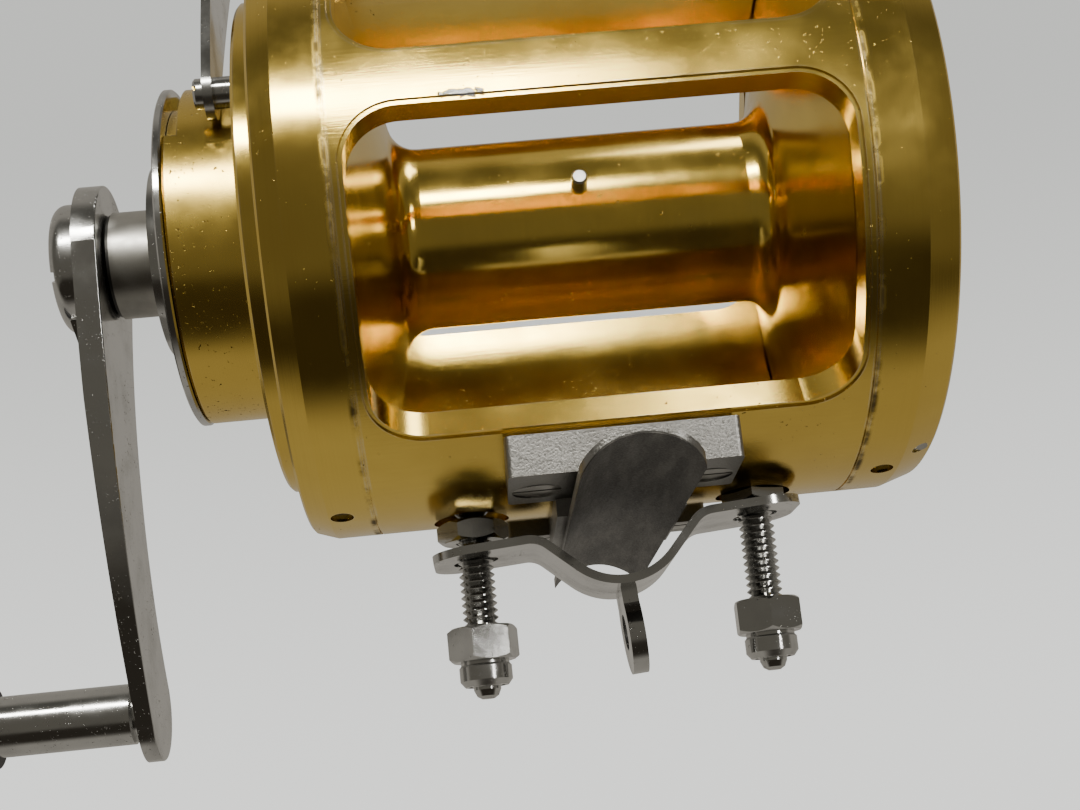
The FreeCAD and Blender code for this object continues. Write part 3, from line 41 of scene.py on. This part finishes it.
class Shader:
    """A material's node tree, with one short method for each kind of node it uses."""

    def __init__(self, name):
        self.material = bpy.data.materials.new(name)
        self.material.use_nodes = True
        self.tree = self.material.node_tree
        self.surface = self.tree.nodes["Principled BSDF"]
        self.place = self.add("ShaderNodeTexCoord").outputs["Object"]

    def add(self, kind):
        return self.tree.nodes.new(kind)

    def wire(self, value, socket):
        """Links a socket, or sets a plain number on it."""
        if isinstance(value, bpy.types.NodeSocket):
            self.tree.links.new(value, socket)
        else:
            socket.default_value = value

    def sum_of(self, kind, first, second=0.0):
        node = self.add("ShaderNodeMath")
        node.operation = kind
        self.wire(first, node.inputs[0])
        self.wire(second, node.inputs[1])
        return node.outputs[0]

    def vector(self, kind, first, second=None):
        node = self.add("ShaderNodeVectorMath")
        node.operation = kind
        self.wire(first, node.inputs[0])
        if second is not None:
            self.wire(second, node.inputs[1])
        return node

    def apart(self):
        """The surface's place as three separate coordinates."""
        split = self.add("ShaderNodeSeparateXYZ")
        self.wire(self.place, split.inputs[0])
        return split.outputs

    def stretched(self, x, y, z):
        """The surface's place, scaled apart along each axis."""
        node = self.add("ShaderNodeMapping")
        self.wire(self.place, node.inputs["Vector"])
        node.inputs["Scale"].default_value = (x, y, z)
        return node.outputs["Vector"]

    def turned(self, along, outward):
        """Rings about the spool's axis, as a lathe leaves them."""
        place = self.apart()
        up = self.sum_of("SUBTRACT", place["Z"], AXIS_HEIGHT)
        square = self.sum_of("MULTIPLY", up, up)
        side = self.sum_of("MULTIPLY", place["Y"], place["Y"])
        radius = self.sum_of("SQRT", self.sum_of("ADD", square, side))
        join = self.add("ShaderNodeCombineXYZ")
        self.wire(self.sum_of("MULTIPLY", place["X"], along), join.inputs["X"])
        self.wire(self.sum_of("MULTIPLY", radius, outward), join.inputs["Y"])
        return join.outputs[0]

    def noise(self, scale, detail=4.0, place=None, rough=0.55):
        node = self.add("ShaderNodeTexNoise")
        self.wire(place or self.place, node.inputs["Vector"])
        node.inputs["Scale"].default_value = scale
        node.inputs["Detail"].default_value = detail
        node.inputs["Roughness"].default_value = rough
        return node.outputs["Fac"]

    def fade(self, value, low, high, start=0.0, end=1.0):
        """The value moved from low..high to start..end, and kept inside it."""
        node = self.add("ShaderNodeMapRange")
        node.interpolation_type = "SMOOTHSTEP"
        for index, number in enumerate((value, low, high, start, end)):
            self.wire(number, node.inputs[index])
        return node.outputs[0]

    def blend(self, share, first, second):
        node = self.add("ShaderNodeMix")
        node.data_type = "RGBA"
        self.wire(share, node.inputs["Factor"])
        for socket, colour in ((node.inputs["A"], first), (node.inputs["B"], second)):
            plain = not isinstance(colour, bpy.types.NodeSocket)
            self.wire((*colour, 1.0) if plain else colour, socket)
        return node.outputs["Result"]

    def bump(self, height, strength, distance, under=None):
        node = self.add("ShaderNodeBump")
        node.inputs["Strength"].default_value = strength
        node.inputs["Distance"].default_value = distance
        self.wire(height, node.inputs["Height"])
        if under:
            self.wire(under, node.inputs["Normal"])
        return node.outputs[0]

    def pits(self, scale, amount):
        """Scattered specks, thicker in some patches than in others."""
        specks = self.noise(scale, 2.0)
        patches = self.noise(scale / 14.0, 3.0)
        together = self.sum_of("ADD", specks, self.sum_of("MULTIPLY", patches, 0.35))
        return self.fade(together, amount, amount + 0.05)

    def worn_edge(self, width):
        """One along sharp edges, where the finish has rubbed thin."""
        rounded = self.add("ShaderNodeBevel")
        rounded.samples = 4
        rounded.inputs["Radius"].default_value = width
        true = self.add("ShaderNodeNewGeometry")
        agree = self.vector("DOT_PRODUCT", rounded.outputs[0], true.outputs["Normal"])
        return self.fade(agree.outputs["Value"], 0.995, 0.9)

    def finish(self, colour, rough, normal, metallic=1.0):
        self.wire(colour, self.surface.inputs["Base Color"])
        self.wire(rough, self.surface.inputs["Roughness"])
        self.wire(normal, self.surface.inputs["Normal"])
        self.surface.inputs["Metallic"].default_value = metallic
        return self.material


# ---- materials ----

GOLD = (0.80, 0.575, 0.125)
DEEP_GOLD = (0.54, 0.36, 0.075)
BARE_ALLOY = (0.80, 0.74, 0.58)
BRIGHT_ALLOY = (0.72, 0.72, 0.70)
GRIME = (0.045, 0.028, 0.012)
RUST = (0.09, 0.075, 0.06)
CAST_LIGHT = (0.26, 0.255, 0.24)
CAST_STAIN = (0.12, 0.112, 0.10)
CAST_GRIT = (0.16, 0.155, 0.15)
# painted shade for the inside of the foot's rod channel, in two tones for streaks
CHANNEL_SHADE_DARK = (0.055, 0.052, 0.047)
CHANNEL_SHADE_LIGHT = (0.125, 0.12, 0.11)


def joint_grime(shader):
    """Dirt in the lines where the rings meet the frame."""
    across = shader.sum_of("ABSOLUTE", shader.apart()["X"])
    away = shader.sum_of("ABSOLUTE", shader.sum_of("SUBTRACT", across, JOINT_AT))
    near = shader.fade(away, GRIME_OUTER, GRIME_INNER)
    patchy = shader.fade(shader.noise(190.0, 5.0), 0.42, 0.62)
    return shader.sum_of("MULTIPLY", near, patchy)


def chip(shader):
    """One knocked spot on the front crossbar where bare metal shows."""
    from_nick = shader.vector("SUBTRACT", shader.place, NICK)
    squashed = shader.vector("MULTIPLY", from_nick.outputs[0], NICK_SQUASH)
    reach = shader.vector("LENGTH", squashed.outputs[0]).outputs["Value"]
    ragged = shader.sum_of("MULTIPLY", shader.noise(900.0, 3.0), NICK_RAGGED)
    return shader.fade(shader.sum_of("ADD", reach, ragged), NICK_OUTER, NICK_INNER)


def gold(name, rough, grain, pit_amount, brushed):
    """Gold anodised alloy: lathe lines, a little unevenness, specks, dirt and rubbed edges."""
    shader = Shader(name)
    if brushed:
        lines = shader.noise(1.0, 3.0, shader.stretched(140.0, 4200.0, 4200.0))
    else:
        lines = shader.noise(1.0, 3.0, shader.turned(5200.0, 5200.0))
    cloud = shader.noise(28.0, 4.0)
    pits = shader.pits(1500.0, pit_amount)
    dirt = shader.sum_of("MAXIMUM", pits, joint_grime(shader))
    rubbing = shader.fade(shader.noise(160.0), 0.35, 0.6)
    worn = shader.sum_of("MULTIPLY", shader.worn_edge(WORN_EDGE), rubbing)
    colour = shader.blend(shader.fade(cloud, 0.35, 0.7, 0.0, 0.45), GOLD, DEEP_GOLD)
    colour = shader.blend(shader.fade(lines, 0.3, 0.75, 0.0, 0.16), colour, DEEP_GOLD)
    colour = shader.blend(shader.sum_of("MULTIPLY", worn, 0.55), colour, BARE_ALLOY)
    colour = shader.blend(shader.sum_of("MULTIPLY", dirt, 0.85), colour, GRIME)
    smear = shader.fade(shader.noise(75.0, 6.0), 0.35, 0.75, rough, rough + 0.10)
    roughness = shader.sum_of("ADD", smear, shader.sum_of("MULTIPLY", dirt, 0.4))
    fine = shader.bump(lines, grain, 0.00002)
    normal = shader.bump(shader.sum_of("SUBTRACT", 1.0, pits), 0.6, 0.00008, fine)
    if brushed:
        bare = chip(shader)
        colour = shader.blend(bare, colour, BRIGHT_ALLOY)
        torn = shader.sum_of("MULTIPLY", bare, shader.noise(2500.0, 3.0))
        normal = shader.bump(torn, 0.9, 0.0004, normal)
    return shader.finish(colour, roughness, normal)


def plated(name, base, rough, pit_scale, pit_amount, depth):
    """Chrome over steel, with rust pits and dull smears."""
    shader = Shader(name)
    pits = shader.pits(pit_scale, pit_amount)
    dull = shader.noise(120.0, 6.0)
    dark = tuple(0.45 * part for part in base)
    colour = shader.blend(shader.fade(dull, 0.4, 0.75, 0.0, 0.35), base, dark)
    colour = shader.blend(shader.sum_of("MULTIPLY", pits, 0.8), colour, RUST)
    smear = shader.fade(dull, 0.35, 0.75, rough, rough + 0.16)
    roughness = shader.sum_of("ADD", smear, shader.sum_of("MULTIPLY", pits, 0.45))
    grain = shader.bump(shader.noise(900.0, 3.0), 0.12, 0.00005)
    normal = shader.bump(shader.sum_of("SUBTRACT", 1.0, pits), 0.7, depth, grain)
    return shader.finish(colour, roughness, normal)


def blasted(name):
    """A bright cast surface with a coarse, even texture, and painted shade in the channel for the
    rod, in darker and lighter streaks.
    """
    shader = Shader(name)
    grit = shader.noise(2900.0, 3.0)
    stain = shader.noise(90.0, 6.0)
    colour = shader.blend(shader.fade(stain, 0.4, 0.75, 0.0, 0.6), CAST_LIGHT, CAST_STAIN)
    colour = shader.blend(shader.fade(grit, 0.55, 0.3, 0.0, 0.4), colour, CAST_GRIT)
    place = shader.apart()
    across = shader.sum_of("MULTIPLY", place["X"], place["X"])
    up = shader.sum_of("MULTIPLY", place["Z"], place["Z"])
    from_rod = shader.sum_of("SQRT", shader.sum_of("ADD", across, up))
    inside = shader.fade(from_rod, SEAT_RADIUS, SEAT_RADIUS - 0.0002)
    # Painted shade: inside the rod's channel the cast colour gives way to dark streaks.
    streaks = shader.fade(shader.noise(1.0, 5.0, shader.stretched(420.0, 60.0, 420.0)), 0.35, 0.7)
    channel_shade = shader.blend(streaks, CHANNEL_SHADE_DARK, CHANNEL_SHADE_LIGHT)
    colour = shader.blend(inside, colour, channel_shade)
    roughness = shader.fade(grit, 0.3, 0.7, 0.30, 0.48)
    roughness = shader.sum_of("ADD", roughness, shader.sum_of("MULTIPLY", inside, 0.12))
    height = shader.sum_of("MULTIPLY", grit, shader.sum_of("SUBTRACT", 1.0, inside))
    return shader.finish(colour, roughness, shader.bump(height, 0.75, 0.0001))


def ground_steel(name, base, rough):
    """Plain turned steel with fine lines and slight staining."""
    shader = Shader(name)
    lines = shader.noise(1.0, 3.0, shader.turned(4600.0, 4600.0))
    stain = shader.noise(130.0, 5.0)
    dark = tuple(0.5 * part for part in base)
    colour = shader.blend(shader.fade(stain, 0.4, 0.75, 0.0, 0.5), base, dark)
    roughness = shader.fade(stain, 0.3, 0.75, rough, rough + 0.18)
    return shader.finish(colour, roughness, shader.bump(lines, 0.35, 0.00003))


def moulded(name, base, rough):
    """Moulded or pressed material that isn't metal, with a fine skin."""
    shader = Shader(name)
    skin = shader.noise(2600.0, 4.0)
    scuff = shader.noise(70.0, 7.0)
    light = tuple(min(1.0, 2.2 * part + 0.015) for part in base)
    colour = shader.blend(shader.fade(scuff, 0.45, 0.75, 0.0, 0.4), base, light)
    roughness = shader.fade(scuff, 0.3, 0.75, rough, rough + 0.2)
    return shader.finish(colour, roughness, shader.bump(skin, 0.3, 0.00004), 0.0)


MATERIALS = {
    "gold_polished": gold("gold_polished", 0.13, 0.30, 0.92, False),
    "gold_brushed": gold("gold_brushed", 0.16, 0.55, 0.90, True),
    "gold_pitted": gold("gold_pitted", 0.19, 0.30, 0.86, False),
    "chrome": plated("chrome", (0.51, 0.51, 0.50), 0.10, 2100.0, 0.86, 0.0001),
    "steel_dull": ground_steel("steel_dull", (0.42, 0.41, 0.38), 0.27),
    "steel_dark": ground_steel("steel_dark", (0.07, 0.068, 0.065), 0.35),
    "steel_bright": ground_steel("steel_bright", (0.62, 0.62, 0.61), 0.16),
    "foot_cast": blasted("foot_cast"),
    "black_grip": moulded("black_grip", (0.018, 0.018, 0.019), 0.38),
    "lining": moulded("lining", (0.11, 0.075, 0.05), 0.7),
    "bronze": ground_steel("bronze", (0.55, 0.34, 0.12), 0.22),
}


def paint_nodes():
    """Each CAD node takes the material of its slot in the record."""
    for part in frame["record"]["subparts"]:
        piece = frame["nodes"][part["node"]]
        piece.data.materials.clear()
        piece.data.materials.append(MATERIALS[part["material_slot"]])


# ---- light, floor and camera ----

FLOOR_REACH = 3.0
FLOOR_HEIGHT = -0.9
FLOOR_TONES = ((0.70, 0.70, 0.68), (0.74, 0.74, 0.72))
FLOOR_TINT = (0.98, 1.0, 0.97, 1.0)
FLOOR_GLOW = 0.62


def plain_floor():
    """A pale floor far below, so that it is under the reel from every side.

    The dim room would leave it dark, so it glows a little. The reel isn't lit by it.
    """
    mesh = bpy.data.meshes.new("floor")
    corners = [(x * FLOOR_REACH, y * FLOOR_REACH, FLOOR_HEIGHT)
               for x, y in ((-1, -1), (1, -1), (1, 1), (-1, 1))]
    mesh.from_pydata(corners, [], [(0, 1, 2, 3)])
    floor = bpy.data.objects.new("floor", mesh)
    bpy.context.scene.collection.objects.link(floor)
    shader = Shader("pale_floor")
    tone = shader.noise(9.0, 4.0)
    colour = shader.blend(shader.fade(tone, 0.3, 0.7), *FLOOR_TONES)
    floor.data.materials.append(shader.finish(colour, 0.7, shader.bump(tone, 0.05, 0.001), 0.0))
    shader.surface.inputs["Emission Color"].default_value = FLOOR_TINT
    shader.surface.inputs["Emission Strength"].default_value = FLOOR_GLOW
    floor.visible_glossy = False
    floor.visible_diffuse = False


class Sky:
    """The world's node tree, with the direction that each ray looks in."""

    def __init__(self):
        world = bpy.data.worlds.new("room")
        bpy.context.scene.world = world
        world.use_nodes = True
        self.tree = world.node_tree
        self.background = self.tree.nodes["Background"]
        place = self.tree.nodes.new("ShaderNodeTexCoord")
        split = self.tree.nodes.new("ShaderNodeSeparateXYZ")
        self.tree.links.new(place.outputs["Generated"], split.inputs[0])
        self.back = split.outputs["Y"]
        self.up = split.outputs["Z"]

    def share(self, value, low, high):
        """Zero below low, one above high and smooth between."""
        node = self.tree.nodes.new("ShaderNodeMapRange")
        node.interpolation_type = "SMOOTHSTEP"
        node.inputs["From Min"].default_value = low
        node.inputs["From Max"].default_value = high
        self.tree.links.new(value, node.inputs["Value"])
        return node.outputs[0]

    def mix(self, share, first, second):
        node = self.tree.nodes.new("ShaderNodeMix")
        node.data_type = "RGBA"
        self.tree.links.new(share, node.inputs["Factor"])
        for socket, colour in ((node.inputs["A"], first), (node.inputs["B"], second)):
            if isinstance(colour, bpy.types.NodeSocket):
                self.tree.links.new(colour, socket)
            else:
                socket.default_value = (*colour, 1.0)
        return node.outputs["Result"]


DARK_UNDER = (0.040, 0.034, 0.026)
DIM_FRONT = (0.155, 0.144, 0.120)
DIM_ABOVE = (0.11, 0.105, 0.09)
PALE_BACK = (0.40, 0.375, 0.33)
SEEN_LOW = (1.30, 1.31, 1.27)
SEEN_HIGH = (0.75, 0.76, 0.73)


def room():
    """Pale light behind the reel and a dim room in front of it, which the metal reflects."""
    sky = Sky()
    front = sky.mix(sky.share(sky.up, -0.62, -0.42), DARK_UNDER, DIM_FRONT)
    front = sky.mix(sky.share(sky.up, 0.30, 0.62), front, DIM_ABOVE)
    around = sky.mix(sky.share(sky.back, -0.36, 0.02), front, PALE_BACK)
    seen = sky.mix(sky.share(sky.up, 0.0, 0.42), SEEN_LOW, SEEN_HIGH)
    path = sky.tree.nodes.new("ShaderNodeLightPath")
    colour = sky.mix(path.outputs["Is Camera Ray"], around, seen)
    sky.tree.links.new(colour, sky.background.inputs["Color"])


LAMPS = (
    # name, place, width, height, watts, colour
    ("window", (-0.16, -0.70, 0.53), 0.45, 0.14, 8.0, (1.0, 0.975, 0.90)),
    ("doorway", (0.42, -0.62, 0.20), 0.10, 0.30, 2.2, (1.0, 0.98, 0.94)),
    ("overhead", (0.30, -0.15, 0.95), 0.30, 0.30, 3.0, (1.0, 0.98, 0.94)),
)


def soft_light(name, place, wide, tall, watts, colour):
    """A rectangular lamp that faces the middle of the reel."""
    lamp = bpy.data.lights.new(name, "AREA")
    lamp.shape = "RECTANGLE"
    lamp.size = wide
    lamp.size_y = tall
    lamp.energy = watts
    lamp.color = colour
    holder = bpy.data.objects.new(name, lamp)
    holder.location = place
    holder.rotation_euler = (MIDDLE - Vector(place)).to_track_quat("-Z", "Y").to_euler()
    bpy.context.scene.collection.objects.link(holder)


CAMERA_AT = (-0.02478, -0.28653, -0.03913)
CAMERA_TURN = (100.9301, 5.9075, -1.8952)
LENS = {
    "sensor_width": 36.0,
    "lens": 54.14,
    "shift_x": -0.0160,
    "shift_y": 0.0795,
    "clip_start": 0.01,
}


def camera():
    """The photo's viewpoint: from below and in front of the reel."""
    lens = bpy.data.cameras.new("camera")
    for setting, value in LENS.items():
        setattr(lens, setting, value)
    holder = bpy.data.objects.new("camera", lens)
    holder.location = CAMERA_AT
    holder.rotation_euler = Euler([math.radians(turn) for turn in CAMERA_TURN])
    bpy.context.scene.collection.objects.link(holder)
    bpy.context.scene.camera = holder


paint_nodes()
plain_floor()
room()
for lamp_settings in LAMPS:
    soft_light(*lamp_settings)
camera()
